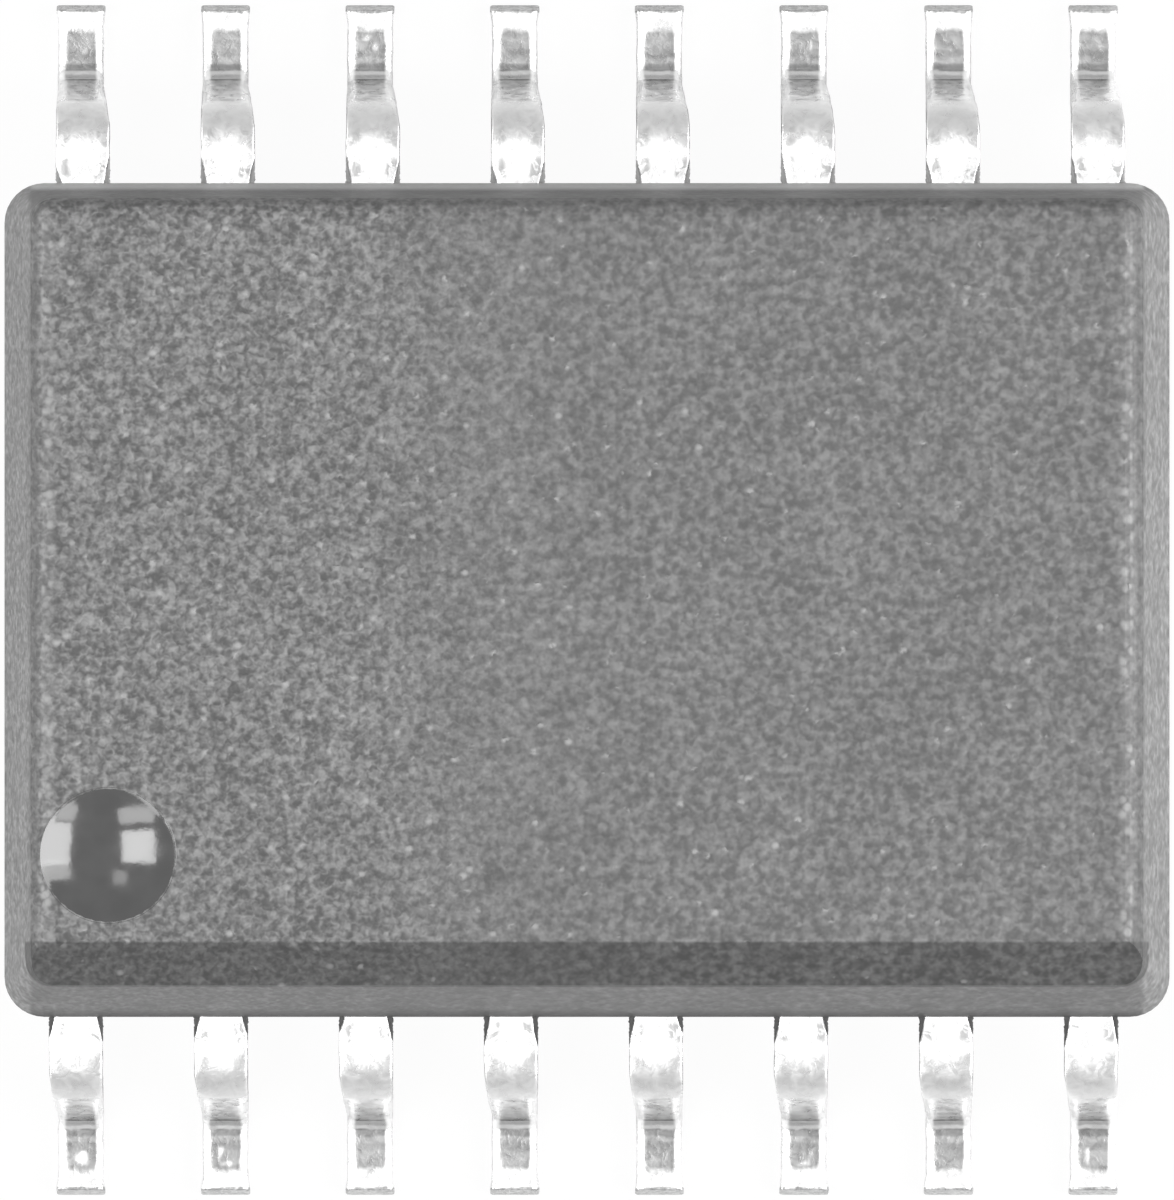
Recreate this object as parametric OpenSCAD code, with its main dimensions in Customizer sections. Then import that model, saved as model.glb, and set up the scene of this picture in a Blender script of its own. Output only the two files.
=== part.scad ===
// Wide small-outline integrated circuit with sixteen gull-wing leads.
// The underside of the feet is at z = 0, x runs along the rows of leads and y runs across them.
// Pin 1 is at the -x -y corner. Pins 1 to 8 run along the -y side and pins 9 to 16 back along the +y side.
// All sizes are in millimetres.

/* [Moulded body] */
// Length of the body at the parting band, along the rows of leads
body_length = 10.20; // [10.10:0.05:10.50]
// Width of the body at the parting band, across the rows of leads
body_width = 7.30; // [7.20:0.05:7.60]
// Height from the underside of the feet to the top face
package_height = 2.50; // [2.35:0.05:2.65]
// Clearance between the board and the underside of the body
standoff = 0.20; // [0.10:0.05:0.30]
// Slope of the walls away from the vertical, in degrees
draft_angle = 15; // [7:1:15]
// Radius of the upright corners at the parting band
corner_radius = 0.35; // [0.20:0.05:0.50]
// Rounding along the edges of the top face
top_edge_radius = 0.22; // [0.10:0.02:0.34]
// Rounding along the edges of the underside
bottom_edge_radius = 0.15; // [0.05:0.05:0.30]
// How far the chamfer along the pin 1 side cuts into the top face, from the sharp edge
chamfer_leg = 0.31; // [0.27:0.02:0.61]
// Slope of the chamfer from the horizontal, in degrees
chamfer_angle = 35; // [30:5:45]
// How far the lower mould cavity is set in from the parting band, all round
parting_step = 0.04; // [0.04:0.01:0.06]
// How far the top face lies off the middle of the body, away from the pin 1 side
top_shift = 0.10; // [0:0.01:0.10]

/* [Marks left by the mould] */
// Diameter of the pin 1 dimple at the top face
dimple_diameter = 1.18; // [0.80:0.02:1.40]
// Depth of the pin 1 dimple
dimple_depth = 0.15; // [0.05:0.01:0.20]
// Distance from the pin 1 end of the body to the middle of the dimple
dimple_from_end = 0.92; // [0.90:0.02:1.60]
// Distance from the pin 1 side of the body to the middle of the dimple
dimple_from_side = 1.42; // [1.40:0.02:2.20]
// Diameter of the two ejector pin marks under the body
ejector_diameter = 1.20; // [0.60:0.10:1.60]
// Depth of the ejector pin marks
ejector_depth = 0.05; // [0.02:0.01:0.10]
// Distance between the two ejector pin marks
ejector_spacing = 5.08; // [3.00:0.02:6.50]
// Width of the mark where the moulding gate was broken off
gate_width = 0.90; // [0.50:0.10:1.20]
// Height of the gate mark
gate_height = 0.22; // [0.10:0.02:0.40]
// Distance from the tie bar to the middle of the gate mark
gate_offset = 1.60; // [1.20:0.10:2.20]

/* [Leads outside the body] */
// Distance between neighbouring leads
lead_pitch = 1.27; // [1.25:0.01:1.28]
// Distance between the tips of the two rows
lead_span = 10.46; // [10.00:0.02:10.65]
// Thickness of the stamped lead frame
frame_thickness = 0.25; // [0.20:0.01:0.30]
// Width of a foot
foot_width = 0.40; // [0.31:0.01:0.46]
// Extra width where the end of a foot was sheared, on each side
tip_flare = 0.015; // [0.005:0.005:0.03]
// Length of the flared end of a foot
tip_flare_length = 0.12; // [0.06:0.01:0.20]
// How far the sheared end face leans back at the top
tip_lean = 0.05; // [0:0.01:0.08]
// Width of a shoulder
shoulder_width = 0.47; // [0.42:0.01:0.51]
// Sideways step between the middle of a shoulder and the middle of its foot
shoulder_step = 0.03; // [0:0.005:0.04]
// Length of the flat shoulder outside the body
shoulder_length = 0.34; // [0.20:0.02:0.40]
// Distance from the body to where a lead begins to narrow
taper_start = 0.47; // [0.30:0.01:0.60]
// Length over which a lead narrows to the width of its foot
taper_length = 0.35; // [0.20:0.01:0.45]
// Inner radius of the bend under the shoulder
upper_bend_radius = 0.15; // [0.10:0.01:0.20]
// Inner radius of the bend above the foot
lower_bend_radius = 0.18; // [0.10:0.01:0.20]
// Lean of the leg away from the vertical, in degrees
leg_lean = 12; // [4:1:14]

/* [Lead fingers inside the body] */
// Width of a finger where it is locked in the moulding
root_width = 0.70; // [0.60:0.02:0.80]
// Length of that wide stretch
root_length = 0.60; // [0.50:0.02:0.70]
// Distance from the wall of the body to the wide stretch
root_inset = 0.12; // [0.10:0.01:0.20]
// Diameter of the hole that the moulding fills to lock the finger
lock_hole_diameter = 0.30; // [0.20:0.02:0.36]
// Width of the end that takes the bond wire
land_width = 0.36; // [0.28:0.01:0.40]
// Length of the end that takes the bond wire
land_length = 0.45; // [0.35:0.01:0.50]
// Distance between the ends of neighbouring fingers
land_pitch = 1.016; // [0.95:0.001:1.10]
// Gap between the ends of the fingers and the paddle, seen from above
finger_gap = 0.30; // [0.20:0.01:0.40]

/* [Die paddle] */
// Length of the paddle
paddle_length = 6.40; // [5.60:0.10:6.80]
// Width of the paddle
paddle_width = 3.20; // [2.80:0.10:3.40]
// How far the paddle is pressed down below the fingers
downset = 0.30; // [0.15:0.01:0.35]
// Slope of the tie bars where they drop to the paddle, in degrees
downset_angle = 45; // [30:5:60]
// Width of a tie bar
tie_bar_width = 0.45; // [0.30:0.05:0.60]

/* [Die] */
// Length of the die
die_length = 3.20; // [2.90:0.05:4.00]
// Width of the die
die_width = 2.00; // [1.50:0.05:2.40]
// Thickness of the die
die_thickness = 0.30; // [0.20:0.01:0.35]
// Thickness of the adhesive under the die
attach_thickness = 0.03; // [0.02:0.01:0.05]
// How far the adhesive shows around the die
attach_margin = 0.10; // [0.05:0.01:0.20]

/* [Bond wires] */
// Diameter of the wire
wire_diameter = 0.04; // [0.03:0.005:0.05]
// Diameter of the ball on the die
ball_diameter = 0.09; // [0.08:0.005:0.11]
// Height of the ball
ball_height = 0.05; // [0.04:0.005:0.06]
// Straight rise of the wire above the ball
wire_rise = 0.10; // [0.06:0.01:0.16]
// Radius of the bend at the top of the loop
wire_bend_radius = 0.10; // [0.06:0.01:0.16]
// Diameter of the stitch on the finger
stitch_diameter = 0.10; // [0.08:0.005:0.12]
// Height of the stitch
stitch_height = 0.06; // [0.055:0.005:0.07]
// Distance between neighbouring wires on the die
pad_pitch = 0.38; // [0.30:0.01:0.39]
// Distance from the side of the die to the row of balls
pad_inset = 0.12; // [0.08:0.01:0.20]

/* [Hidden] */
leads_per_side = 8;
lead_count = 2 * leads_per_side;

function numbered(stem, pin) = str(stem, pin < 10 ? "_0" : "_", pin);

epoxy_colour = [0.33, 0.33, 0.34];
tin_colour = [0.80, 0.80, 0.81];
copper_colour = [0.78, 0.50, 0.36];
adhesive_colour = [0.68, 0.68, 0.66];
silicon_colour = [0.36, 0.39, 0.46];
gold_colour = [0.90, 0.73, 0.35];

// how far a cutting shape runs past what it cuts
cut_margin = 1;
// number of sides of the rounded corners of the moulding
corner_sides = 32;
curve_sides = 48;

// heights
body_height = package_height - standoff;
frame_bottom = standoff + (body_height - frame_thickness) / 2;
frame_top = frame_bottom + frame_thickness;
paddle_bottom = frame_bottom - downset;
paddle_top = paddle_bottom + frame_thickness;
attach_top = paddle_top + attach_thickness;
die_top = attach_top + die_thickness;

// outlines of the two mould cavities where they meet the parting band
half_length = body_length / 2;
half_width = body_width / 2;
lower_half_length = half_length - parting_step;
lower_half_width = half_width - parting_step;
upper_height = package_height - frame_top;
lower_height = frame_bottom - standoff;

// a lead seen from its side: the two bends and the leg between them
tip_reach = lead_span / 2;
turn = 90 - leg_lean;
upper_bend_y = half_width + shoulder_length;
upper_bend_middle = upper_bend_radius + frame_thickness / 2;
lower_bend_middle = lower_bend_radius + frame_thickness / 2;
bends_drop = (upper_bend_middle + lower_bend_middle) * (1 - cos(turn));
leg_length = (frame_bottom - bends_drop) / sin(turn);
lower_bend_y = upper_bend_y + (upper_bend_middle + lower_bend_middle) * sin(turn) + leg_length * cos(turn);
foot_length = tip_reach - lower_bend_y;

// a lead seen from above: where its inner finger changes width
land_end_y = paddle_width / 2 + finger_gap;
land_start_y = land_end_y + land_length;
root_end_y = half_width - root_inset;
root_start_y = root_end_y - root_length;

// How far a drafted wall comes in over a height
function drawn_in(height) = height * tan(draft_angle);

// The distance of a lead from the middle of its row, counted along the +y row from its first pin
function lead_x(index) = ((leads_per_side - 1) / 2 - index) * lead_pitch;
function land_x(index) = ((leads_per_side - 1) / 2 - index) * land_pitch;
function pad_x(index) = ((leads_per_side - 1) / 2 - index) * pad_pitch;
function row_index(pin) = (pin - 1) % leads_per_side;
function on_near_side(pin) = pin <= leads_per_side;

// Lays the outline of a lead, drawn for the +y row, in the row that its pin belongs to
module in_row(pin) {
    rotate([0, 0, on_near_side(pin) ? 180 : 0])
        children();
}

// A quarter-round dome with its flat face on z = 0
module dome(radius) {
    rotate_extrude($fn = corner_sides)
        intersection() {
            circle(r = radius, $fn = corner_sides);
            square(radius);
        }
}

module at_corners(x, y) {
    for (side_x = [-1, 1], side_y = [-1, 1])
        translate([side_x * x, side_y * y, 0])
            children();
}

// One mould cavity, open side on z = 0: drafted walls, round corners and a rounded far edge, with an
// upright rim below z = 0 and the far face shifted across the leads where they are asked for
module cavity_form(half_x, half_y, height, edge_radius, rim = 0, far_shift = 0) {
    edge_inset = drawn_in(height - edge_radius) + edge_radius / cos(draft_angle);
    hull() {
        at_corners(half_x - corner_radius, half_y - corner_radius) {
            cylinder(r1 = corner_radius, r2 = 0, h = corner_radius, $fn = corner_sides);
            if (rim > 0)
                translate([0, 0, -rim])
                    cylinder(r = corner_radius, h = rim, $fn = corner_sides);
        }
        translate([0, far_shift, height - edge_radius])
            at_corners(half_x - edge_inset, half_y - edge_inset)
                dome(edge_radius);
    }
}

// The wedge that the chamfer takes off the upper moulding on the pin 1 side
module chamfer_cut() {
    top_y = top_shift - half_width + drawn_in(upper_height);
    rotate([90, 0, 90])
        linear_extrude(height = body_length + 2 * cut_margin, center = true)
            polygon([
                [top_y + chamfer_leg + cut_margin, package_height + cut_margin * tan(chamfer_angle)],
                [top_y - cut_margin, package_height - (chamfer_leg + cut_margin) * tan(chamfer_angle)],
                [top_y - cut_margin, package_height + cut_margin * tan(chamfer_angle)]
            ]);
}

module pin_one_dimple() {
    dimple_radius = dimple_diameter / 2;
    ball_radius = (pow(dimple_radius, 2) + pow(dimple_depth, 2)) / (2 * dimple_depth);
    translate([
        dimple_from_end - half_length,
        dimple_from_side - half_width,
        package_height - dimple_depth + ball_radius
    ])
        sphere(r = ball_radius, $fn = curve_sides);
}

module ejector_marks() {
    for (side = [-1, 1])
        translate([side * ejector_spacing / 2, 0, standoff - cut_margin])
            cylinder(d = ejector_diameter, h = cut_margin + ejector_depth, $fn = curve_sides);
}

// The stub left under the parting band at the end away from pin 1
module gate_mark() {
    gate_depth = drawn_in(lower_height);
    translate([half_length - gate_depth, gate_offset - gate_width / 2, frame_bottom - gate_height])
        cube([gate_depth, gate_width, gate_height]);
}

module moulding() {
    difference() {
        union() {
            translate([0, 0, frame_top])
                cavity_form(half_length, half_width, upper_height, top_edge_radius, frame_thickness, top_shift);
            translate([0, 0, frame_bottom])
                mirror([0, 0, 1])
                    cavity_form(lower_half_length, lower_half_width, lower_height, bottom_edge_radius);
            gate_mark();
        }
        chamfer_cut();
        pin_one_dimple();
        ejector_marks();
    }
}

module mold_body() {
    color(epoxy_colour)
        difference() {
            moulding();
            for (pin = [1:lead_count]) {
                lead(pin);
                bond_wire(pin);
            }
            die_paddle();
            die_attach();
            die();
        }
}

// The half plane behind the y axis, or in front of it
module half_plane(front) {
    reach = lead_span;
    translate([front ? 0 : -reach, -reach / 2])
        square(reach);
}

// A bend in section about the origin, from straight above it or below it, turning by an angle either way
module bend_section(inner_radius, angle) {
    intersection() {
        difference() {
            circle(r = inner_radius + frame_thickness, $fn = curve_sides);
            circle(r = inner_radius, $fn = curve_sides);
        }
        half_plane(true);
        rotate(angle)
            half_plane(false);
    }
}

// A lead seen from its side, outward along the first axis and up along the second.
// Each stretch is drawn in the frame of the one before it, turned by the bend between them.
module lead_section() {
    translate([land_end_y, frame_bottom])
        square([upper_bend_y - land_end_y, frame_thickness]);
    translate([upper_bend_y, frame_bottom - upper_bend_radius]) {
        bend_section(upper_bend_radius, -turn);
        rotate(-turn) {
            translate([0, upper_bend_radius])
                square([leg_length, frame_thickness]);
            translate([leg_length, upper_bend_radius + frame_thickness + lower_bend_radius]) {
                bend_section(lower_bend_radius, turn);
                rotate(turn)
                    translate([0, -lower_bend_radius])
                        polygon([
                            [0, 0],
                            [0, -frame_thickness],
                            [foot_length, -frame_thickness],
                            [foot_length - tip_lean, 0]
                        ]);
            }
        }
    }
}

// A lead seen from above, drawn for the +y row as [y, middle, width] from the tip of the foot inwards
module lead_outline(index) {
    foot_x = lead_x(index);
    root_x = foot_x + shoulder_step;
    stations = [
        [tip_reach + cut_margin, foot_x, foot_width + 2 * tip_flare],
        [tip_reach - tip_lean, foot_x, foot_width + 2 * tip_flare],
        [tip_reach - tip_lean - tip_flare_length, foot_x, foot_width],
        [half_width + taper_start + taper_length, foot_x, foot_width],
        [half_width + taper_start, root_x, shoulder_width],
        [root_end_y, root_x, shoulder_width],
        [root_end_y, root_x, root_width],
        [root_start_y, root_x, root_width],
        [land_start_y, land_x(index), land_width],
        [land_end_y - cut_margin, land_x(index), land_width]
    ];
    last = len(stations) - 1;
    polygon(concat(
        [for (s = stations) [s[1] + s[2] / 2, s[0]]],
        [for (i = [last:-1:0]) [stations[i][1] - stations[i][2] / 2, stations[i][0]]]
    ));
}

module lead(pin) {
    index = row_index(pin);
    widest = 2 * (abs(lead_x(index)) + root_width);
    hole_y = (root_start_y + root_end_y) / 2;
    color(tin_colour)
        in_row(pin)
            difference() {
                intersection() {
                    rotate([90, 0, 90])
                        linear_extrude(height = widest, center = true)
                            lead_section();
                    linear_extrude(height = package_height)
                        lead_outline(index);
                }
                translate([lead_x(index) + shoulder_step, hole_y, frame_bottom - cut_margin])
                    cylinder(d = lock_hole_diameter, h = frame_thickness + 2 * cut_margin, $fn = curve_sides);
            }
}

// The two tie bars in section, as one strip that dips to the level of the paddle
module tie_bar_section() {
    low_x = paddle_length / 2;
    high_x = low_x + downset / tan(downset_angle);
    corner_step = frame_thickness * tan(downset_angle / 2);
    right_side = [
        [low_x, paddle_top],
        [high_x, frame_top],
        [half_length, frame_top],
        [half_length, frame_bottom],
        [high_x + corner_step, frame_bottom],
        [low_x + corner_step, paddle_bottom]
    ];
    polygon(concat(right_side, [for (i = [len(right_side) - 1:-1:0]) [-right_side[i][0], right_side[i][1]]]));
}

module die_paddle() {
    color(copper_colour) {
        translate([-paddle_length / 2, -paddle_width / 2, paddle_bottom])
            cube([paddle_length, paddle_width, frame_thickness]);
        rotate([90, 0, 0])
            linear_extrude(height = tie_bar_width, center = true)
                tie_bar_section();
    }
}

module slab(length, width, thickness, bottom) {
    translate([-length / 2, -width / 2, bottom])
        cube([length, width, thickness]);
}

module die_attach() {
    color(adhesive_colour)
        slab(die_length + 2 * attach_margin, die_width + 2 * attach_margin, attach_thickness, paddle_top);
}

module die() {
    color(silicon_colour)
        slab(die_length, die_width, die_thickness, attach_top);
}

// The bend at the top of a loop, in the xz plane about the origin: from straight up to sloping down
module wire_bend(slope) {
    reach = 2 * (wire_bend_radius + wire_diameter);
    intersection() {
        rotate([90, 0, 0])
            rotate_extrude($fn = curve_sides)
                translate([wire_bend_radius, 0])
                    circle(d = wire_diameter, $fn = curve_sides);
        translate([-reach, -reach, 0])
            cube(2 * reach);
        rotate([0, slope, 0])
            translate([-2 * reach, -reach, -reach])
                cube(2 * reach);
    }
}

// One wire of the +y row: up from its ball, over the bend and straight down to its stitch
module wire_loop(index) {
    pad = [pad_x(index), die_width / 2 - pad_inset, die_top];
    stitch = [land_x(index), land_end_y + land_length / 2, frame_top];
    across = norm([stitch[0] - pad[0], stitch[1] - pad[1]]);
    bearing = atan2(stitch[1] - pad[1], stitch[0] - pad[0]);
    bend_z = ball_height + wire_rise;
    drop = pad[2] + bend_z - stitch[2] - stitch_height / 2;
    to_stitch = norm([across - wire_bend_radius, drop]);
    slope = atan2(drop, across - wire_bend_radius) + asin(wire_bend_radius / to_stitch);
    straight = sqrt(pow(to_stitch, 2) - pow(wire_bend_radius, 2));
    translate(pad)
        rotate([0, 0, bearing]) {
            cylinder(d = ball_diameter, h = ball_height, $fn = curve_sides);
            translate([wire_bend_radius, 0, bend_z]) {
                translate([-wire_bend_radius, 0, ball_height / 2 - bend_z])
                    cylinder(d = wire_diameter, h = bend_z - ball_height / 2, $fn = curve_sides);
                wire_bend(slope);
                rotate([0, slope, 0])
                    translate([0, 0, wire_bend_radius])
                        rotate([0, 90, 0])
                            cylinder(d = wire_diameter, h = straight, $fn = curve_sides);
            }
        }
    translate(stitch)
        cylinder(d = stitch_diameter, h = stitch_height, $fn = curve_sides);
}

module bond_wire(pin) {
    color(gold_colour)
        in_row(pin)
            wire_loop(row_index(pin));
}

mold_body();
for (pin = [1:lead_count])
    lead(pin);
die_paddle();
die_attach();
die();
for (pin = [1:lead_count])
    bond_wire(pin);
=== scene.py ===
"""Looks of a sixteen-lead wide small-outline chip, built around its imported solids.

The frame is that of the solids: x along the rows of leads, y across them, z up from the board.
Shapes are worked out in millimetres and written to the meshes in metres.
"""
import math

import bpy
import numpy as np
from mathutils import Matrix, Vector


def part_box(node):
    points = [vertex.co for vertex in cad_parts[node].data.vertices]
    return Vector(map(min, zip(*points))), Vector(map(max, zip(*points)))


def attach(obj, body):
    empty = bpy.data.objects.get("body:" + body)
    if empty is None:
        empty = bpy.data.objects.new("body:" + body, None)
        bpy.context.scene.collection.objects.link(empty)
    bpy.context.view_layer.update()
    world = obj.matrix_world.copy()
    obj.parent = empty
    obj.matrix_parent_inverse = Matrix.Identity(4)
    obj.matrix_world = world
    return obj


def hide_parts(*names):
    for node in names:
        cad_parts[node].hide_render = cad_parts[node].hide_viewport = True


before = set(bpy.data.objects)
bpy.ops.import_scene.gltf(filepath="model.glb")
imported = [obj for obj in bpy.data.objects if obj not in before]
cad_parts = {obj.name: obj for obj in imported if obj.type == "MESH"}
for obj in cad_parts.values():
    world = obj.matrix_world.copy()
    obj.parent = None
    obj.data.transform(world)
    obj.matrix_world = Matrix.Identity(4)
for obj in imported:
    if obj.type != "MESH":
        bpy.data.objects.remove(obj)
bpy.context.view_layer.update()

MM = 0.001
rng = np.random.default_rng(16)


def box_mm(node):
    """Lowest and highest corner of a solid, in millimetres."""
    low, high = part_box(node)
    return np.array(low) / MM, np.array(high) / MM


# ---------------------------------------------------------------- sizes, mm
LEADS_PER_SIDE = 8
LEAD_PITCH = 1.27
FRAME_THICKNESS = 0.25
FOOT_WIDTH = 0.40
TIP_FLARE = 0.015
TIP_FLARE_LENGTH = 0.12
TIP_LEAN = 0.05
SHOULDER_WIDTH = 0.47
SHOULDER_STEP = 0.03
SHOULDER_LENGTH = 0.34
TAPER_START = 0.47
TAPER_LENGTH = 0.35
UPPER_BEND_RADIUS = 0.15
LOWER_BEND_RADIUS = 0.18
LEG_LEAN = 12
ROOT_WIDTH = 0.70
ROOT_LENGTH = 0.60
ROOT_INSET = 0.12
LOCK_HOLE_DIAMETER = 0.30
LAND_WIDTH = 0.36
LAND_LENGTH = 0.45
LAND_PITCH = 1.016
DIMPLE_DIAMETER = 1.18
DIMPLE_DEPTH = 0.15
DIMPLE_FROM_END = 0.92
DIMPLE_FROM_SIDE = 1.42
BEVEL_TOP_Y = -2.97
BEVEL_SOFTNESS = 0.03
RING_ROWS, RING_POINTS = 24, 96

body_low, body_high = box_mm("mold_body")
lead_low, lead_high = box_mm("lead_09")
half_length, half_width = body_high[0], body_high[1]
top_z = body_high[2]
frame_top = lead_high[2]
frame_bottom = frame_top - FRAME_THICKNESS
tip_reach, land_end = lead_high[1], lead_low[1]
frame_middle = frame_bottom + FRAME_THICKNESS / 2
root_end = half_width - ROOT_INSET
root_start = root_end - ROOT_LENGTH
dimple_middle = np.array([DIMPLE_FROM_END - half_length, DIMPLE_FROM_SIDE - half_width])


# ---------------------------------------------------------------- meshes
SHARP_ANGLE = 50


def add_piece(name, parts, material):
    """One object from several (points, faces[, uv]) parts, points in millimetres, riding on the one body."""
    points, faces, uvs, start = [], [], [], 0
    for part_points, part_faces, *part_uv in parts:
        points.append(part_points.reshape(-1, 3))
        faces += [[start + i for i in face] for face in part_faces]
        uvs.append(part_uv[0].reshape(-1, 2) if part_uv else np.full((len(points[-1]), 2), -1.0))
        start += len(points[-1])
    mesh = bpy.data.meshes.new(name)
    mesh.from_pydata(np.concatenate(points) * MM, [], faces)
    if any(len(part) > 2 for part in parts):
        corner_point = np.empty(len(mesh.loops), np.int32)
        mesh.loops.foreach_get("vertex_index", corner_point)
        layer = mesh.uv_layers.new(name="along")
        layer.data.foreach_set("uv", np.concatenate(uvs)[corner_point].ravel())
    mesh.shade_smooth()
    mesh.set_sharp_from_angle(angle=math.radians(SHARP_ANGLE))
    mesh.materials.append(material)
    piece = bpy.data.objects.new(name, mesh)
    bpy.context.scene.collection.objects.link(piece)
    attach(piece, "root")
    return piece


def tube_faces(rows, columns):
    """Quads of a grid whose columns close into a ring, with a face over each end row.

    They point outward where the ring runs anticlockwise about the direction of the rows.
    """
    row, column = np.meshgrid(np.arange(rows - 1), np.arange(columns), indexing="ij")
    following = (column + 1) % columns
    quads = np.stack([
        row * columns + column,
        row * columns + following,
        (row + 1) * columns + following,
        (row + 1) * columns + column,
    ], axis=-1).reshape(-1, 4).tolist()
    quads.append(list(range(columns))[::-1])
    quads.append(list(range((rows - 1) * columns, rows * columns)))
    return quads


def wavy(u, phases, lengths):
    """Mean of sines of u, one for each phase and wavelength: a slow irregular wander between -1 and 1."""
    return np.mean([np.sin(2 * np.pi * (u / length + phase)) for phase, length in zip(phases, lengths)], axis=0)


# ---------------------------------------------------------------- leads
CORNER_STEPS = 4
FLAT_STEPS = 8
SIDE_STEPS = 4
PATH_STEP = 0.015
TIP_RADIUS, TIP_ROWS = 0.02, 5
ROOT_OVERLAP = 0.02


def lead_x(index):
    """Place of a foot along its row, counted from the row's first pin."""
    return ((LEADS_PER_SIDE - 1) / 2 - index) * LEAD_PITCH


def section_ring():
    """Direction and flat position of each point round a rounded bar, from the +x side over the top.

    A point is (flat_x * (a - r) + r cos(turn), flat_z * (b - r) + r sin(turn)) for half sizes a and b
    and corner radius r, so the arcs and the flats between them come from the same formula.
    """
    turn, flat_x, flat_z = [], [], []
    corners = [(1, 1), (-1, 1), (-1, -1), (1, -1)]
    for side, (x, z) in enumerate(corners):
        next_x, next_z = corners[(side + 1) % 4]
        turn.append(np.linspace(side * 90, side * 90 + 90, CORNER_STEPS + 1))
        flat_x.append(np.full(CORNER_STEPS + 1, float(x)))
        flat_z.append(np.full(CORNER_STEPS + 1, float(z)))
        steps = FLAT_STEPS if side % 2 == 0 else SIDE_STEPS
        along = np.arange(1, steps) / steps
        turn.append(np.full(steps - 1, side * 90 + 90.0))
        flat_x.append(x + (next_x - x) * along)
        flat_z.append(z + (next_z - z) * along)
    return np.radians(np.concatenate(turn)), np.concatenate(flat_x), np.concatenate(flat_z)


RING_TURN, RING_FLAT_X, RING_FLAT_Z = section_ring()


def lead_path(start):
    """Middle line of a lead from a reach inside the wall to the tip, as distance, reach, height and tilt.

    The curvature is constant along each stretch (shoulder, bend, leg, bend, foot). The tilt is its
    running sum along the line, and reach and height are the running sums of the tilt's cosine and sine.
    """
    turn = math.radians(90 - LEG_LEAN)
    upper = UPPER_BEND_RADIUS + FRAME_THICKNESS / 2
    lower = LOWER_BEND_RADIUS + FRAME_THICKNESS / 2
    leg = (frame_bottom - (upper + lower) * (1 - math.cos(turn))) / math.sin(turn)
    foot_start = half_width + SHOULDER_LENGTH + (upper + lower) * math.sin(turn) + leg * math.cos(turn)
    lengths = [half_width + SHOULDER_LENGTH - start, upper * turn, leg, lower * turn, tip_reach - foot_start]
    tilts = [0, 0, -turn, -turn, 0, 0]
    ends = np.concatenate([[0], np.cumsum(lengths)])
    count = int(ends[-1] / PATH_STEP)
    distance = np.linspace(0, ends[-1], count + 1)
    tilt = np.interp(distance, ends, tilts)
    step = np.diff(distance)
    middle_tilt = (tilt[1:] + tilt[:-1]) / 2
    reach = start + np.concatenate([[0], np.cumsum(step * np.cos(middle_tilt))])
    height = frame_middle + np.concatenate([[0], np.cumsum(step * np.sin(middle_tilt))])
    return distance, reach, height, tilt, ends


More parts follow.
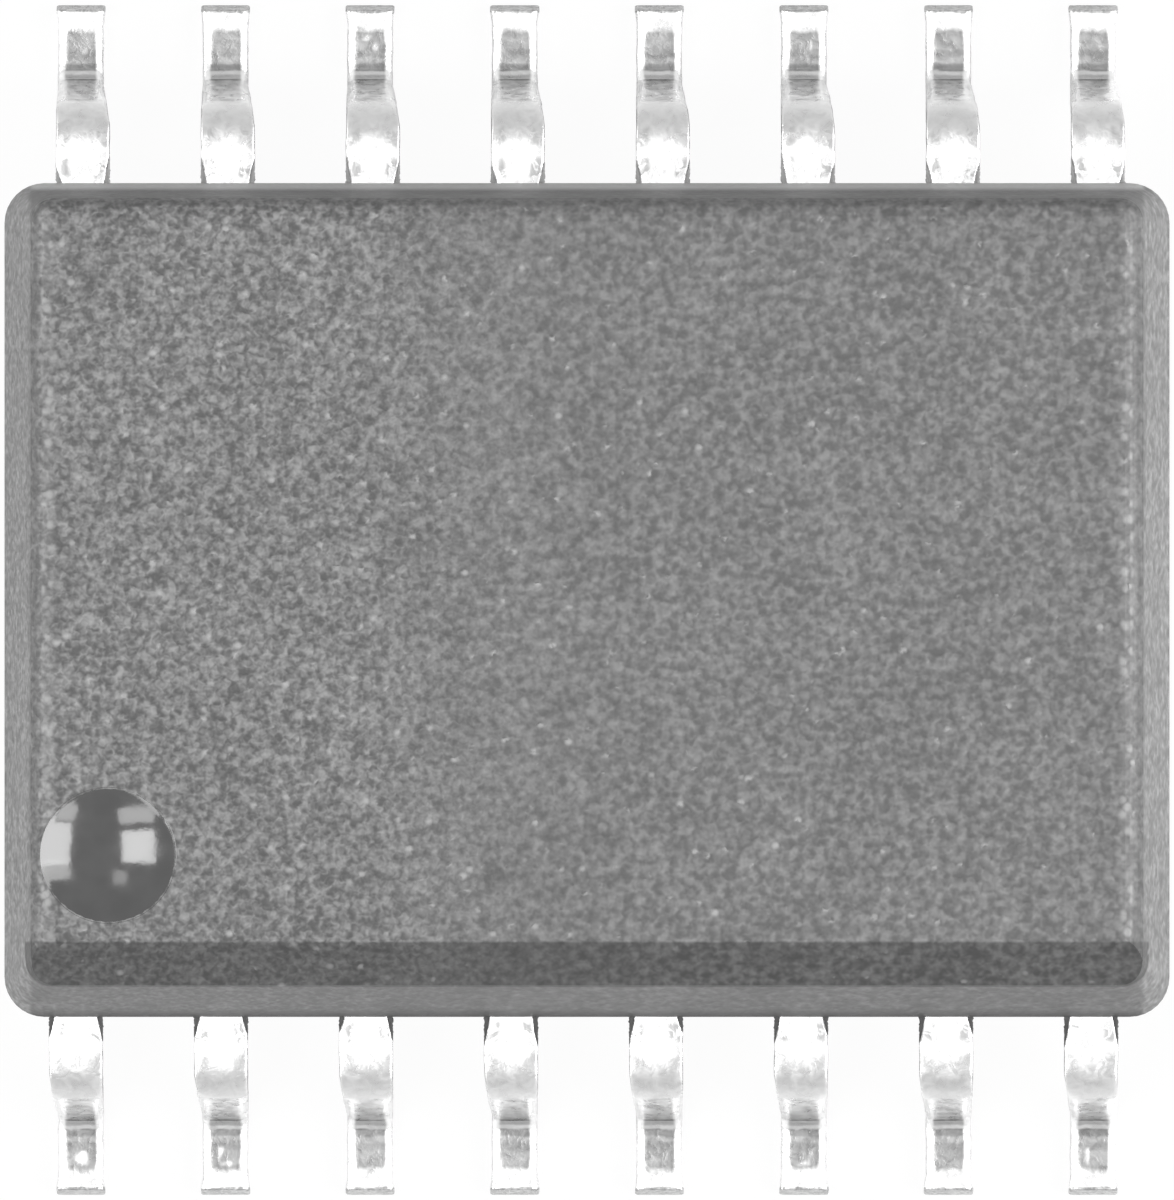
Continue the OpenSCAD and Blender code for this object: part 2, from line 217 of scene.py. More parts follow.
def lead_bar(index, seed):
    """The lead outside its locked root: a rounded bar carried along lead_path.

    Width and sideways place follow the plan, by reach. The upper corners are rounder towards the foot,
    where the shear rolled them over, and the last rows draw in on a quarter circle to round the tip.
    """
    wander = np.random.default_rng(seed)
    distance, reach, height, tilt, ends = lead_path(root_end - ROOT_OVERLAP)
    foot_x = lead_x(index)
    root_x = foot_x + SHOULDER_STEP
    stations = np.array([
        [root_end, root_x, SHOULDER_WIDTH],
        [half_width + TAPER_START, root_x, SHOULDER_WIDTH],
        [half_width + TAPER_START + TAPER_LENGTH, foot_x, FOOT_WIDTH],
        [tip_reach - TIP_LEAN - TIP_FLARE_LENGTH, foot_x, FOOT_WIDTH],
        [tip_reach - TIP_LEAN, foot_x, FOOT_WIDTH + 2 * TIP_FLARE],
    ])
    swing = np.linspace(0, np.pi / 2, TIP_ROWS)
    last = ends[-1]
    keep = distance < last - TIP_RADIUS - PATH_STEP / 2
    rows = np.concatenate([distance[keep], last - TIP_RADIUS + TIP_RADIUS * np.sin(swing)])
    inset = np.concatenate([np.zeros(keep.sum()), TIP_RADIUS * (1 - np.cos(swing))])
    reach, height, tilt = (np.interp(rows, distance, values) for values in (reach, height, tilt))
    middle = np.interp(reach, stations[:, 0], stations[:, 1])
    width = np.interp(reach, stations[:, 0], stations[:, 2])
    outside = np.clip((reach - half_width) / 0.1, 0, 1)
    neck = flash_at(reach, seed)
    left_wave, right_wave, face_wave = (
        outside * wavy(rows, wander.random(3), [0.23, 0.41, 0.9]) for _ in range(3))
    upper_radius = np.interp(rows, ends[1:4], [0.025, 0.045, 0.07])
    lower_radius = 0.018
    weight = (RING_FLAT_Z + 1) / 2
    radius = upper_radius[:, None] * weight + lower_radius * (1 - weight)
    half_wide = (width / 2 - inset)[:, None]
    half_thick = (FRAME_THICKNESS / 2 - inset)[:, None]
    radius = np.minimum(radius, half_thick * 0.9)
    across = RING_FLAT_X * (half_wide - radius) + radius * np.cos(RING_TURN)
    up = RING_FLAT_Z * (half_thick - radius) + radius * np.sin(RING_TURN)
    side = np.clip(across / half_wide, -1, 1)
    across = across + 0.004 * np.where(side > 0, side * left_wave[:, None], side * right_wave[:, None])
    across = across - side * np.where(side > 0, neck[1][:, None], neck[0][:, None])
    crown = 0.003 * face_wave[:, None] * np.cos(side * np.pi / 2) * weight
    groove = lower_bend_marks(rows - ends[3])[:, None] * weight * np.clip(1.3 - np.abs(side) ** 3, 0, 1)
    up = up + crown - groove
    lean = TIP_LEAN * np.clip((rows - last + 0.10) / 0.10, 0, 1)[:, None] * (up / FRAME_THICKNESS + 0.5)
    sin_tilt, cos_tilt = np.sin(tilt)[:, None], np.cos(tilt)[:, None]
    points = np.stack([
        middle[:, None] + across,
        reach[:, None] - up * sin_tilt - lean * cos_tilt,
        height[:, None] + up * cos_tilt - lean * sin_tilt,
    ], axis=-1)
    from_wall = np.broadcast_to((rows - (half_width - root_end + ROOT_OVERLAP))[:, None], side.shape)
    return points, tube_faces(*points.shape[:2]), np.stack([side, from_wall], axis=-1)


def lower_bend_marks(s):
    """Depth of the two shallow lines that the forming die leaves across the bend above the foot."""
    return 0.004 * (np.exp(-((s - 0.13) / 0.014) ** 2) + np.exp(-((s - 0.30) / 0.020) ** 2))


FLASH_WIDTH = 0.045
FLASH_ROWS, FLASH_POINTS = 24, 16
flash_lengths = rng.uniform(0.13, 0.27, (2 * LEADS_PER_SIDE, 2))


def flash_at(reach, seed):
    """Width of the resin left on each side of a lead at a reach: widest at the wall, nothing at its end."""
    return [FLASH_WIDTH * np.clip(1 - (reach - half_width) / length, 0, 1) for length in flash_lengths[seed]]


def locked_root(index):
    """The wide stretch of a finger with its hole: a ring closed on itself.

    The first parameter goes round the hole. The second goes up the hole, out over the top to the
    rectangle's edge, down its side and back under: the edge is where the ray at that angle leaves it.
    """
    root_x = lead_x(index) + SHOULDER_STEP
    middle_y = (root_start + root_end) / 2
    corner = math.atan2(ROOT_LENGTH / 2, ROOT_WIDTH / 2)
    quarter = [np.linspace(a, b, 9)[:-1] for a, b in (
        (-corner, corner), (corner, np.pi - corner), (np.pi - corner, np.pi + corner),
        (np.pi + corner, 2 * np.pi - corner))]
    angle = np.concatenate(quarter)
    edge = np.minimum(ROOT_WIDTH / 2 / np.maximum(np.abs(np.cos(angle)), 1e-6),
                      ROOT_LENGTH / 2 / np.maximum(np.abs(np.sin(angle)), 1e-6))
    hole = np.full_like(angle, LOCK_HOLE_DIAMETER / 2)
    radius = np.stack([hole, hole, edge, edge], axis=1)
    height = np.array([frame_bottom, frame_top, frame_top, frame_bottom])
    points = np.stack([
        root_x + radius * np.cos(angle)[:, None],
        middle_y + radius * np.sin(angle)[:, None],
        np.broadcast_to(height, radius.shape),
    ], axis=-1)
    rows, columns = points.shape[:2]
    row, column = np.meshgrid(np.arange(rows), np.arange(columns), indexing="ij")
    next_row, next_column = (row + 1) % rows, (column + 1) % columns
    quads = np.stack([
        row * columns + column,
        next_row * columns + column,
        next_row * columns + next_column,
        row * columns + next_column,
    ], axis=-1).reshape(-1, 4)[:, ::-1]
    return points, quads.tolist()


def finger_end(index):
    """The end of a finger that takes its wire: a square-edged bar along stations of reach, middle and width."""
    root_x = lead_x(index) + SHOULDER_STEP
    land_x = ((LEADS_PER_SIDE - 1) / 2 - index) * LAND_PITCH
    stations = np.array([
        [root_start, root_x, ROOT_WIDTH],
        [land_end + LAND_LENGTH, land_x, LAND_WIDTH],
        [land_end, land_x, LAND_WIDTH],
    ])
    side = np.array([1, 1, -1, -1]) / 2
    level = np.array([frame_bottom, frame_top, frame_top, frame_bottom])
    points = np.stack([
        stations[:, 1:2] + stations[:, 2:3] * side,
        np.repeat(stations[:, :1], 4, axis=1),
        np.repeat(level[None], 3, axis=0),
    ], axis=-1)
    return points, tube_faces(3, 4)


def flash_wedges(index, seed):
    """Resin left beside a shoulder: two thin bars that taper from the wall to nothing.

    The section is an oval with corners, |x|^n + |z|^n = 1, as thick as the frame and as wide as the
    resin at that reach, set against the lead's side. Its far side is ragged where the punch passed.
    """
    wander = np.random.default_rng(100 + seed)
    root_x = lead_x(index) + SHOULDER_STEP
    parts = []
    around = np.linspace(0, 2 * np.pi, FLASH_POINTS, endpoint=False)
    cos, sin = np.cos(around), np.sin(around)
    square_x = np.sign(cos) * np.abs(cos) ** 0.5
    square_z = np.sign(sin) * np.abs(sin) ** 0.5
    for hand, length in zip((-1, 1), flash_lengths[seed]):
        reach = root_end + 0.01 + np.linspace(0, 1, FLASH_ROWS) * (half_width + length - root_end - 0.01)
        wide = FLASH_WIDTH * np.clip(1 - (reach - half_width) / length, 0.02, 1)
        rough = wide * 0.25 * wavy(reach, wander.random(3), [0.03, 0.05, 0.11])
        half_thick = FRAME_THICKNESS / 2 * (0.94 - 0.1 * (reach - half_width) / length)
        middle = root_x + hand * (SHOULDER_WIDTH / 2 - wide / 2 - 0.004)
        ragged = rough[:, None] * np.clip(hand * square_x, 0, 1) * hand
        across = (wide / 2 + 0.006)[:, None] * square_x + ragged
        points = np.stack([
            middle[:, None] + across,
            np.repeat(reach[:, None], FLASH_POINTS, axis=1),
            frame_middle + half_thick[:, None] * square_z,
        ], axis=-1)
        parts.append((points, tube_faces(FLASH_ROWS, FLASH_POINTS)))
    return parts


def turned(part):
    """The same part for the other row: half a turn about the package's upright middle line."""
    points, *rest = part
    return (points * np.array([-1, -1, 1]), *rest)


# ---------------------------------------------------------------- dimple
def dimple_lining():
    """The polished floor of the pin 1 dimple: a thin spherical cap laid in the solid's dimple.

    Radius and angle are the parameters. The upper face is the sphere through the rim and the bottom of
    the dimple, raised clear of the solid's facets, and the lower face lies under them.
    """
    rim = DIMPLE_DIAMETER / 2 + 0.006
    ball = (DIMPLE_DIAMETER ** 2 / 4 + DIMPLE_DEPTH ** 2) / (2 * DIMPLE_DEPTH)
    fraction = np.linspace(0, 1, RING_ROWS + 1)[1:]
    radius = np.concatenate([fraction * rim, (fraction * rim)[::-1]])
    angle = np.linspace(0, 2 * np.pi, RING_POINTS, endpoint=False)
    sag = ball - DIMPLE_DEPTH - np.sqrt(ball ** 2 - radius ** 2)
    lift = np.concatenate([0.002 + 0.008 * (1 - fraction ** 4), np.full(RING_ROWS, -0.02)])
    height = np.minimum(top_z + sag + lift, top_z + 0.001)
    points = np.stack([
        dimple_middle[0] + radius[:, None] * np.cos(angle),
        dimple_middle[1] + radius[:, None] * np.sin(angle),
        np.repeat(height[:, None], RING_POINTS, axis=1),
    ], axis=-1)
    return points, tube_faces(2 * RING_ROWS, RING_POINTS)


# ---------------------------------------------------------------- materials
class Surface:
    """A procedural material: a Principled shader with patterns on Object coordinates in millimetres."""

    def __init__(self, name, colour, roughness, metallic=0.0, **sockets):
        self.material = bpy.data.materials.new(name)
        self.material.use_nodes = True
        self.nodes = self.material.node_tree.nodes
        self.links = self.material.node_tree.links
        self.shader = self.nodes["Principled BSDF"]
        self.set("Base Color", (*colour, 1))
        self.set("Roughness", roughness)
        self.set("Metallic", metallic)
        for socket, value in sockets.items():
            self.set(socket.replace("_", " "), value)
        coordinates = self.nodes.new("ShaderNodeTexCoord")
        mapping = self.nodes.new("ShaderNodeMapping")
        mapping.inputs["Scale"].default_value = (1 / MM, 1 / MM, 1 / MM)
        self.links.new(coordinates.outputs["Object"], mapping.inputs["Vector"])
        self.place = mapping.outputs["Vector"]

    def set(self, socket, value):
        self.shader.inputs[socket].default_value = value

    def feed(self, socket, output):
        self.links.new(output, self.shader.inputs[socket])

    def noise(self, size, detail=2.0, roughness=0.5, distortion=0.0):
        """Fractal noise whose largest lumps are about size millimetres across."""
        node = self.nodes.new("ShaderNodeTexNoise")
        node.inputs["Scale"].default_value = 1 / size
        node.inputs["Detail"].default_value = detail
        node.inputs["Roughness"].default_value = roughness
        node.inputs["Distortion"].default_value = distortion
        self.links.new(self.place, node.inputs["Vector"])
        return node.outputs["Fac"]

    def cells(self, size):
        """Distance pattern of cells about size millimetres apart."""
        node = self.nodes.new("ShaderNodeTexVoronoi")
        node.feature = "F1"
        node.inputs["Scale"].default_value = 1 / size
        self.links.new(self.place, node.inputs["Vector"])
        return node.outputs["Distance"]

    def value(self, source, low_stop, high_stop):
        """Value that goes smoothly from one (position, value) stop to the other, held beyond them."""
        node = self.nodes.new("ShaderNodeMapRange")
        node.interpolation_type = "SMOOTHSTEP"
        (low, low_value), (high, high_value) = low_stop, high_stop
        ends = {"From Min": low, "From Max": high, "To Min": low_value, "To Max": high_value}
        for socket, number in ends.items():
            node.inputs[socket].default_value = number
        self.links.new(source, node.inputs["Value"])
        return node.outputs["Result"]

    def levels(self, source, reach, *stops):
        """A grey level that goes from stop to stop, (value, level), over values from 0 to reach."""
        ramp = self.nodes.new("ShaderNodeValToRGB")
        elements = ramp.color_ramp.elements
        elements.remove(elements[1])
        elements[0].position, elements[0].color = stops[0][0] / reach, (*grey(stops[0][1]), 1)
        for place, level in stops[1:]:
            elements.new(place / reach).color = (*grey(level), 1)
        self.links.new(self.maths("DIVIDE", source, reach), ramp.inputs["Fac"])
        return ramp.outputs["Color"]

    def maths(self, operation, first, second=0.0, third=0.0):
        node = self.nodes.new("ShaderNodeMath")
        node.operation = operation
        for socket, source in zip(node.inputs, (first, second, third)):
            if isinstance(source, (int, float)):
                socket.default_value = source
            else:
                self.links.new(source, socket)
        return node.outputs["Value"]

    def axis(self, name, source=None):
        node = self.nodes.new("ShaderNodeSeparateXYZ")
        self.links.new(source or self.place, node.inputs["Vector"])
        return node.outputs[name]

    def blend(self, amount, first, second):
        """Colour that goes from first to second as amount goes from 0 to 1."""
        node = self.nodes.new("ShaderNodeMix")
        node.data_type = "RGBA"
        sockets = {s.identifier: s for s in node.inputs}
        for name, source in (("A_Color", first), ("B_Color", second)):
            if isinstance(source, tuple):
                sockets[name].default_value = (*source, 1)
            else:
                self.links.new(source, sockets[name])
        self.links.new(amount, sockets["Factor_Float"])
        return next(s for s in node.outputs if s.identifier == "Result_Color")

    def product(self, first, second):
        """Two colours multiplied."""
        node = self.nodes.new("ShaderNodeMix")
        node.data_type, node.blend_type = "RGBA", "MULTIPLY"
        sockets = {s.identifier: s for s in node.inputs}
        sockets["Factor_Float"].default_value = 1.0
        self.links.new(first, sockets["A_Color"])
        self.links.new(second, sockets["B_Color"])
        return next(s for s in node.outputs if s.identifier == "Result_Color")

    def bump(self, height, depth):
        """Bump that raises the surface by depth millimetres where height is 1."""
        node = self.nodes.new("ShaderNodeBump")
        node.inputs["Distance"].default_value = depth * MM
        node.inputs["Strength"].default_value = 1.0
        self.links.new(height, node.inputs["Height"])
        return node.outputs["Normal"]


def grey(level):
    return (level, level, level)


def moulding_compound():
    """Filled epoxy: spark-eroded grain, sharper towards the pin 1 end. Light and shade are painted in: shade on
    the bevel and on the rounded top edges, a highlight along the end edges of the top, paler end walls, a
    shadow along the foot of the pin 1 side wall, and a darker wall away from pin 1 with a pale band of light
    along its parting edge."""
    s = Surface("moulding_compound", grey(0.19), 0.55, Specular_IOR_Level=0.35)
    height, across = s.axis("Z"), s.axis("Y")
    end = s.maths("ABSOLUTE", s.axis("X"))
    before = s.value(across, (BEVEL_TOP_Y - BEVEL_SOFTNESS, 1.0), (BEVEL_TOP_Y, 0.0))
    on_bevel = s.maths("MULTIPLY", s.value(height, (2.16, 0.0), (2.20, 1.0)), before)
    on_wall = s.value(height, (top_z - 0.17, 1.0), (top_z - 0.13, 0.0))
    pin_one_end = s.value(s.axis("X"), (-2.6, 1.0), (1.0, 0.0))
    soft, sharp = s.noise(0.070, 1.0, 0.5, 0.2), s.noise(0.055, 1.0, 0.5, 0.3)
    lumps = s.noise(0.13, 2.0, 0.5)
    blotch = s.noise(1.1, 2.0, 0.5)
    grain = s.maths("ADD", soft, s.maths("MULTIPLY", pin_one_end, s.maths("SUBTRACT", sharp, soft)))
    mixed = s.maths("MULTIPLY_ADD", lumps, 0.30, s.maths("MULTIPLY", grain, 0.70))
    tone = s.value(mixed, (0.30, 0.0), (0.80, 1.0))
    bead = s.maths("MULTIPLY", s.value(s.cells(0.17), (0.06, 1.0), (0.28, 0.0)),
                   s.value(s.maths("MULTIPLY_ADD", pin_one_end, 0.08, lumps), (0.52, 0.0), (0.64, 1.0)))
    face = s.blend(pin_one_end, s.blend(tone, grey(0.105), grey(0.270)),
                   s.blend(tone, grey(0.085), grey(0.330)))
    face = s.blend(s.maths("MULTIPLY", bead, 0.8), face, grey(0.42))
    # painted highlight: a broken pale line along the end edges of the top, where the rounding would catch the
    # lamps
    edge_highlight = s.maths("MULTIPLY", s.value(end, (4.62, 0.0), (4.70, 1.0)),
                   s.value(height, (top_z - 0.04, 0.0), (top_z - 0.02, 1.0)))
    edge_highlight = s.maths("MULTIPLY", edge_highlight, s.value(s.cells(0.11), (0.15, 1.0), (0.50, 0.15)))
    face = s.blend(s.maths("MULTIPLY", edge_highlight, 0.8), face, grey(0.40))
    # painted shade: the rounding of the top edges is coloured darker
    rounded = s.value(height, (top_z - 0.07, 1.0), (top_z - 0.03, 0.0))
    face = s.blend(s.maths("MULTIPLY", rounded, 0.7), face, s.blend(tone, grey(0.07), grey(0.16)))
    # painted light: the end walls are coloured paler, as if lit by the low side lamps
    end_wall = s.blend(tone, grey(0.12), grey(0.30))
    # painted shadow: the pin 1 side wall darkens to near black along its foot
    near_wall = s.blend(s.value(across, (-3.66, 1.0), (-3.56, 0.0)),
                        s.blend(tone, grey(0.10), grey(0.21)), grey(0.06))
    # painted shade and light: the wall away from pin 1 is coloured darker, with a painted pale band of light
    # along its parting edge
    far_wall = s.blend(s.value(across, (3.57, 0.0), (3.62, 1.0)),
                       s.blend(tone, grey(0.08), grey(0.16)), grey(0.42))
    wall = s.blend(s.value(across, (3.20, 0.0), (3.36, 1.0)), near_wall, far_wall)
    wall = s.blend(s.value(end, (4.84, 0.0), (4.90, 1.0)), wall, end_wall)
    # painted shade: the bevel is coloured darker than the top
    bevel = s.blend(bead, s.blend(tone, grey(0.045), grey(0.130)), grey(0.19))
    spread = s.blend(s.value(blotch, (0.3, 0.0), (0.7, 1.0)), grey(0.95), grey(1.05))
    s.feed("Base Color", s.product(s.blend(on_bevel, s.blend(on_wall, face, wall), bevel), spread))
    s.feed("Roughness", s.value(grain, (0.3, 0.48), (0.7, 0.62)))
    relief = s.maths("MULTIPLY_ADD", bead, 0.5, mixed)
    s.feed("Normal", s.bump(s.maths("MULTIPLY", relief, s.value(on_wall, (0.0, 1.0), (1.0, 0.4))), 0.018))
    return s.material


def polished_compound():
    """The same epoxy where a polished pin formed it: darker, glossy and faintly clouded."""
    s = Surface("polished_compound", grey(0.03), 0.12,
                Specular_IOR_Level=1.0, Coat_Weight=0.4, Coat_Roughness=0.12)
    cloud = s.noise(0.25, 2.0, 0.5)
    s.feed("Base Color", s.blend(s.value(cloud, (0.3, 0.0), (0.7, 1.0)), grey(0.018), grey(0.030)))
    s.feed("Roughness", s.value(cloud, (0.3, 0.10), (0.7, 0.16)))
    s.feed("Normal", s.bump(s.noise(0.12, 3.0, 0.6), 0.0015))
    return s.material


def tin_plate():
    """Matt tin over the stamped copper: pale and softly mottled, with painted reflections that make it greyer
    over the upper bend and lay dark bars across the lower bend, darker marks along its sides near the wall, a
    darker patch on the foot and a sheared tip."""
    s = Surface("tin_plate", grey(0.82), 0.32, 1.0)
    uv = s.nodes.new("ShaderNodeUVMap")
    uv.uv_map = "along"
    mottle = s.noise(0.10, 3.0, 0.55, 0.8)
    streak = s.noise(0.05, 2.0, 0.5, 1.0)
    slow = s.noise(0.30, 1.0, 0.5)
    wander = s.maths("MULTIPLY", s.maths("SUBTRACT", s.noise(0.13, 2.0, 0.5), 0.5), 0.16)
    side = s.maths("ADD", s.maths("ABSOLUTE", s.axis("X", uv.outputs["UV"])), wander)
    along = s.maths("ADD", s.axis("Y", uv.outputs["UV"]), s.maths("MULTIPLY", wander, 0.5))
    bowed = s.maths("ADD", along, s.maths("MULTIPLY", s.maths("MULTIPLY", side, side), 0.08))
    # painted reflection: the upper bend is greyer than the shoulder and the leg, as a convex bend would mirror
    # the darker surroundings
    upper = s.levels(bowed, 1.0, (0.0, 0.86), (0.34, 0.86), (0.40, 0.62), (0.52, 0.56), (0.66, 0.66),
                     (0.76, 0.82), (1.0, 0.82))
    # painted reflections: the dark stops up to where the foot begins lie across the concave lower bend; the
    # darker stops after them make a patch on the foot
    bars = s.levels(along, 2.5, (0.72, 0.90), (0.90, 0.86), (1.54, 0.86), (1.60, 0.44), (1.70, 0.40),
                    (1.73, 0.56), (1.77, 0.56), (1.80, 0.22), (1.88, 0.24), (1.91, 0.34), (1.94, 0.34),
                    (1.97, 0.27), (2.01, 0.29), (2.04, 0.34), (2.12, 0.34), (2.17, 0.30), (2.23, 0.80))
    column = s.value(s.maths("MULTIPLY_ADD", s.value(along, (2.08, 0.0), (2.22, 1.0)), 0.10, side),
                     (0.60, 1.0), (0.76, 0.0))
    opened = s.maths("MULTIPLY", s.value(slow, (0.57, 0.0), (0.63, 1.0)),
                     s.maths("MULTIPLY", s.value(side, (0.15, 1.0), (0.42, 0.0)),
                             s.maths("MULTIPLY", s.value(along, (1.98, 0.0), (2.04, 1.0)),
                                     s.value(along, (2.10, 1.0), (2.18, 0.0)))))
    column = s.maths("MULTIPLY", column, s.maths("SUBTRACT", 1.0, opened))
    toned = s.blend(s.maths("MULTIPLY", column, s.value(along, (0.72, 0.0), (0.80, 1.0))), upper, bars)
    # darker marks, broken by the mottle, along the sides of the shoulder near the wall and at the start of the
    # upper bend
    bend_entry_marks = s.maths("MULTIPLY", s.value(bowed, (0.34, 0.0), (0.40, 1.0)),
                      s.value(bowed, (0.44, 1.0), (0.50, 0.0)))
    shoulder_edge_marks = s.maths("MULTIPLY", s.value(along, (0.02, 0.0), (0.08, 1.0)),
                      s.value(along, (0.18, 1.0), (0.28, 0.0)))
    marks = s.maths("MULTIPLY", s.maths("MAXIMUM", bend_entry_marks, shoulder_edge_marks),
                    s.maths("MULTIPLY", s.value(side, (0.35, 0.0), (0.60, 1.0)),
                            s.value(mottle, (0.44, 0.0), (0.56, 1.0))))
    toned = s.blend(marks, toned, grey(0.42))
    cut = s.value(along, (2.365, 0.0), (2.385, 1.0))
    toned = s.blend(cut, toned, s.blend(s.value(streak, (0.35, 0.0), (0.65, 1.0)), grey(0.30), grey(0.50)))
    mottled = s.blend(s.value(mottle, (0.3, 0.0), (0.7, 1.0)), grey(0.92), grey(1.03))
    s.feed("Base Color", s.product(toned, mottled))
    s.feed("Roughness", s.value(mottle, (0.3, 0.26), (0.7, 0.42)))
    s.feed("Normal", s.bump(s.maths("ADD", mottle, s.maths("MULTIPLY", streak, 0.4)), 0.005))
    return s.material


def metal(name, colour, darker, roughness, size, depth):
    """Bare metal with a drawn or rolled finish: colour wanders to darker over lumps of size millimetres."""
    s = Surface(name, colour, roughness, 1.0)
    cloud = s.noise(size, 3.0, 0.55)
    s.feed("Base Color", s.blend(s.value(cloud, (0.3, 0.0), (0.7, 1.0)), darker, colour))
    s.feed("Roughness", s.value(cloud, (0.3, roughness * 0.8), (0.7, roughness * 1.25)))
    s.feed("Normal", s.bump(cloud, depth))
    return s.material


def bare_copper():
    """Stamped copper, dulled to a brown grey where the tie bars were cut off at the ends of the package."""
    s = Surface("bare_copper", (0.72, 0.43, 0.30), 0.38, 1.0)
    cloud = s.noise(0.15, 3.0, 0.55)
    clean = s.blend(s.value(cloud, (0.3, 0.0), (0.7, 1.0)), (0.52, 0.28, 0.19), (0.72, 0.43, 0.30))
    dull = s.blend(s.value(s.noise(0.05, 2.0), (0.35, 0.0), (0.65, 1.0)),
                   (0.20, 0.17, 0.15), (0.34, 0.29, 0.26))
    outer = s.value(s.maths("ABSOLUTE", s.axis("X")), (half_length - 0.15, 0.0), (half_length - 0.05, 1.0))
    s.feed("Base Color", s.blend(outer, clean, dull))
    s.feed("Roughness", s.value(cloud, (0.3, 0.32), (0.7, 0.48)))
    s.feed("Normal", s.bump(cloud, 0.004))
    return s.material


def die_adhesive():
    """Cured silver-filled adhesive: pale grey and grainy."""
    s = Surface("die_adhesive", grey(0.55), 0.55, 0.3)
    flake = s.cells(0.03)
    s.feed("Base Color", s.blend(s.value(flake, (0.1, 0.0), (0.7, 1.0)), grey(0.62), grey(0.46)))
    s.feed("Normal", s.bump(flake, 0.006))
    return s.material


def silicon():
    """Polished silicon under its passivation, with rows of cells that catch the light differently."""
    s = Surface("silicon", (0.13, 0.15, 0.20), 0.12, 0.4)
    brick = s.nodes.new("ShaderNodeTexBrick")
    for socket, number in (("Scale", 4.0), ("Mortar Size", 0.02), ("Brick Width", 0.5), ("Row Height", 0.22)):
        brick.inputs[socket].default_value = number
    for socket, colour in (("Color1", (0.16, 0.19, 0.24)), ("Color2", (0.20, 0.17, 0.24)),
                           ("Mortar", (0.07, 0.08, 0.11))):
        brick.inputs[socket].default_value = (*colour, 1)
    s.links.new(s.place, brick.inputs["Vector"])
    s.feed("Base Color", s.blend(s.value(s.noise(0.2, 2.0), (0.35, 0.0), (0.65, 0.5)),
                                 brick.outputs["Color"], (0.15, 0.18, 0.2)))
    s.feed("Roughness", s.value(s.noise(0.05, 2.0), (0.3, 0.08), (0.7, 0.2)))
    return s.material


compound = moulding_compound()
polished = polished_compound()
tin = tin_plate()
carried_over = {
    "mold_body": compound,
    "die_paddle": bare_copper(),
    "die_attach": die_adhesive(),
    "die": silicon(),
}
gold = metal("gold_wire", (0.90, 0.68, 0.28), (0.80, 0.56, 0.20), 0.2, 0.03, 0.001)
carried_over.update({f"bond_wire_{pin:02d}": gold for pin in range(1, 2 * LEADS_PER_SIDE + 1)})
for node, material in carried_over.items():
    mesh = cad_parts[node].data
    mesh.materials.clear()
    mesh.materials.append(material)

# ---------------------------------------------------------------- pieces
for pin in range(1, 2 * LEADS_PER_SIDE + 1):
    seed = pin - 1
    index = seed % LEADS_PER_SIDE
    parts = [lead_bar(index, seed), locked_root(index), finger_end(index)]
    wedges = flash_wedges(index, seed)
    if pin <= LEADS_PER_SIDE:
        parts, wedges = [turned(p) for p in parts], [turned(p) for p in wedges]
    lead = add_piece(f"formed_lead_{pin:02d}", parts, tin)
    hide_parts(f"lead_{pin:02d}")
    add_piece(f"resin_flash_{pin:02d}", wedges, compound)
add_piece("dimple_lining", [dimple_lining()], polished)

# the moulding's own edges are broken a little, as the mould's are
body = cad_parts["mold_body"]
weld = body.modifiers.new("weld", "WELD")
weld.merge_threshold = 1e-7
edges = body.modifiers.new("edges", "BEVEL")
edges.width, edges.segments, edges.limit_method = 0.012 * MM, 2, "ANGLE"
edges.angle_limit = math.radians(22)
edges.use_clamp_overlap = True

# ---------------------------------------------------------------- stage
FLOOR_REACH = 2.0
floor_corners = [(FLOOR_REACH * x, FLOOR_REACH * y, 0) for x, y in ((-1, -1), (1, -1), (1, 1), (-1, 1))]
floor_mesh = bpy.data.meshes.new("floor")
floor_mesh.from_pydata(floor_corners, [], [(0, 1, 2, 3)])
floor = bpy.data.objects.new("floor", floor_mesh)
bpy.context.scene.collection.objects.link(floor)
paper = Surface("white_paper", grey(0.95), 0.9, Specular_IOR_Level=0.0)
floor_mesh.materials.append(paper.material)
output = paper.nodes["Material Output"]
glow = paper.nodes.new("ShaderNodeEmission")
ray = paper.nodes.new("ShaderNodeLightPath")
whiten = paper.nodes.new("ShaderNodeMixShader")
paper.links.new(paper.maths("MULTIPLY", ray.outputs["Is Camera Ray"], 0.95), whiten.inputs["Fac"])
paper.links.new(paper.shader.outputs["BSDF"], whiten.inputs[1])
paper.links.new(glow.outputs["Emission"], whiten.inputs[2])
paper.links.new(whiten.outputs["Shader"], output.inputs["Surface"])

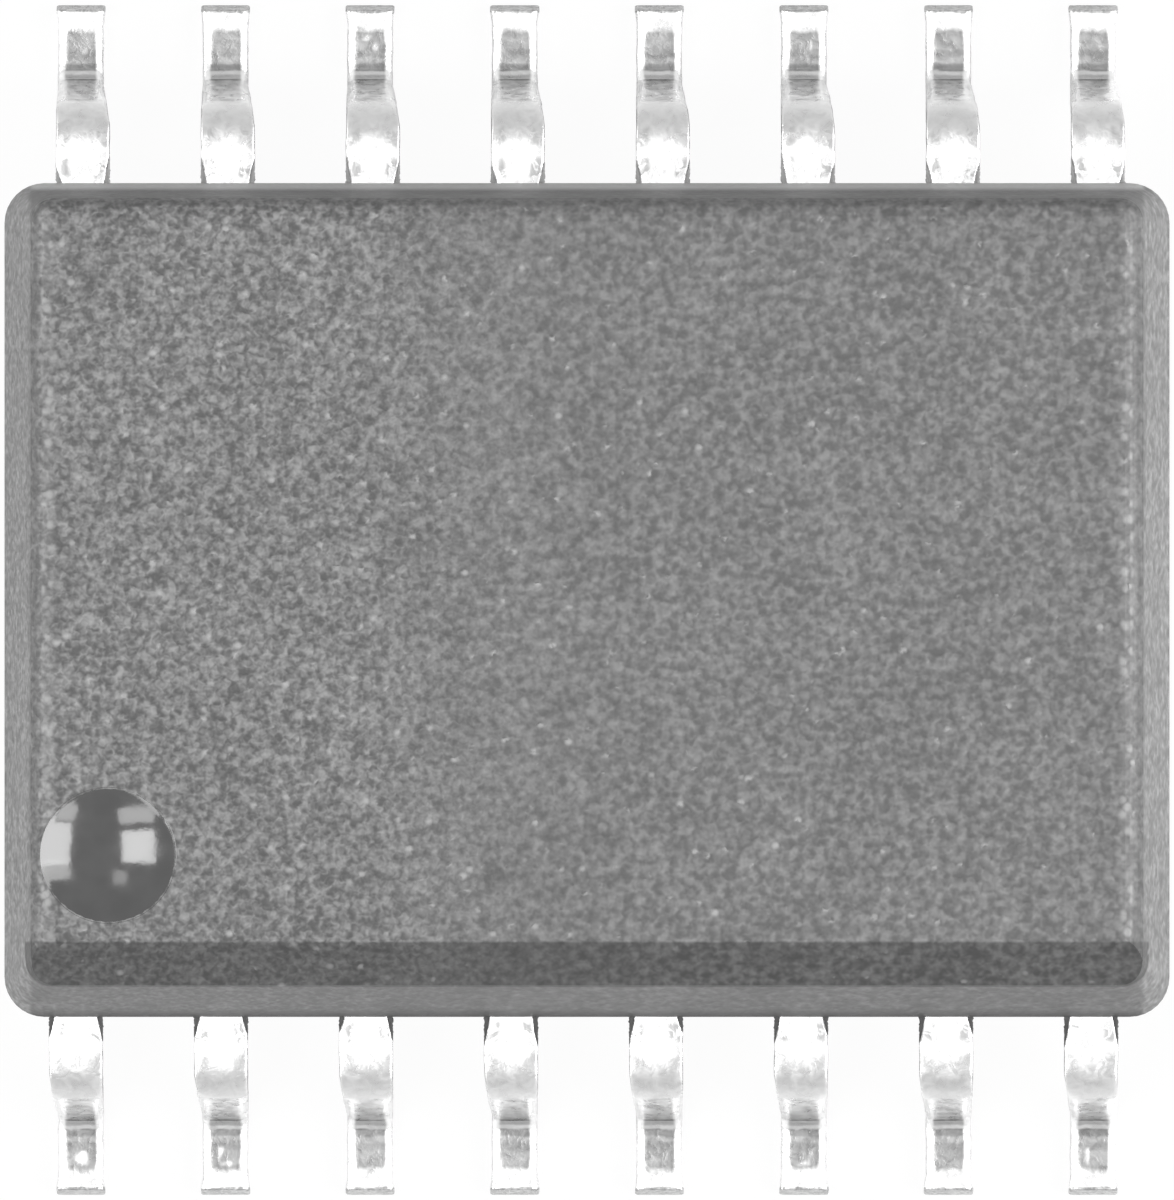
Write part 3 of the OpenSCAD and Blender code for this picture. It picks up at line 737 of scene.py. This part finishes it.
world = bpy.data.worlds.new("studio")
bpy.context.scene.world = world
world.use_nodes = True
nodes, links = world.node_tree.nodes, world.node_tree.links
background = nodes["Background"]
path = nodes.new("ShaderNodeLightPath")
seen = nodes.new("ShaderNodeMath")
seen.operation = "ADD"
seen.use_clamp = True
links.new(path.outputs["Is Camera Ray"], seen.inputs[0])
glossy = nodes.new("ShaderNodeMath")
glossy.operation = "ADD"
links.new(path.outputs["Is Glossy Ray"], glossy.inputs[0])
links.new(path.outputs["Is Transmission Ray"], glossy.inputs[1])
links.new(glossy.outputs[0], seen.inputs[1])
level = nodes.new("ShaderNodeMapRange")
level.inputs["To Min"].default_value = 0.12
level.inputs["To Max"].default_value = 1.0
links.new(seen.outputs[0], level.inputs["Value"])
background.inputs["Color"].default_value = (1, 1, 1, 1)
links.new(level.outputs["Result"], background.inputs["Strength"])


LAMP_DISTANCE = 0.3


def softbox(name, right, back, wide, deep, radiance):
    """A rectangular lamp aimed at the package: right and back are its tilt from overhead in degrees,
    wide and deep the angles that it fills, and radiance is 1 where a mirror of it would look white."""
    size_x = 2 * LAMP_DISTANCE * math.tan(math.radians(wide / 2))
    size_y = 2 * LAMP_DISTANCE * math.tan(math.radians(deep / 2))
    lamp = bpy.data.lights.new(name, "AREA")
    lamp.shape, lamp.size, lamp.size_y = "RECTANGLE", size_x, size_y
    lamp.energy = radiance * math.pi * size_x * size_y
    holder = bpy.data.objects.new(name, lamp)
    bpy.context.scene.collection.objects.link(holder)
    x, y = math.tan(math.radians(right)), math.tan(math.radians(back))
    toward = np.array([x, y, 1.0])
    toward *= LAMP_DISTANCE / np.linalg.norm(toward)
    holder.location = toward
    holder.rotation_euler = (-math.atan2(y, 1), math.asin(toward[0] / LAMP_DISTANCE), 0)
    holder.visible_camera = False


softbox("left_softbox", -25, -8, 26, 25, 5.6)
softbox("left_panel", -26, -34, 26, 12, 3.2)
softbox("small_panel", -11, 17, 11, 11, 2.0)
softbox("right_softbox", 43, -13, 28, 30, 5.4)
softbox("right_back_panel", 43, -41, 28, 13, 3.2)
softbox("right_front_panel", 43, 14, 28, 13, 3.2)
softbox("left_low_softbox", -80, -10, 14, 60, 7.5)
softbox("right_low_softbox", 80, -10, 14, 60, 8.5)

FRAME_WIDTH = 10.283
PARTING_LEVEL = 1.3
camera = bpy.data.cameras.new("camera")
camera.sensor_fit, camera.sensor_width = "HORIZONTAL", 36.0
camera.lens = 1400.0
viewpoint = bpy.data.objects.new("camera", camera)
bpy.context.scene.collection.objects.link(viewpoint)
viewpoint.location = (0, 0, (PARTING_LEVEL + FRAME_WIDTH * camera.lens / camera.sensor_width) * MM)
camera.clip_start, camera.clip_end = 0.01, 10.0
bpy.context.scene.camera = viewpoint
bpy.context.scene.view_settings.view_transform = "Standard"
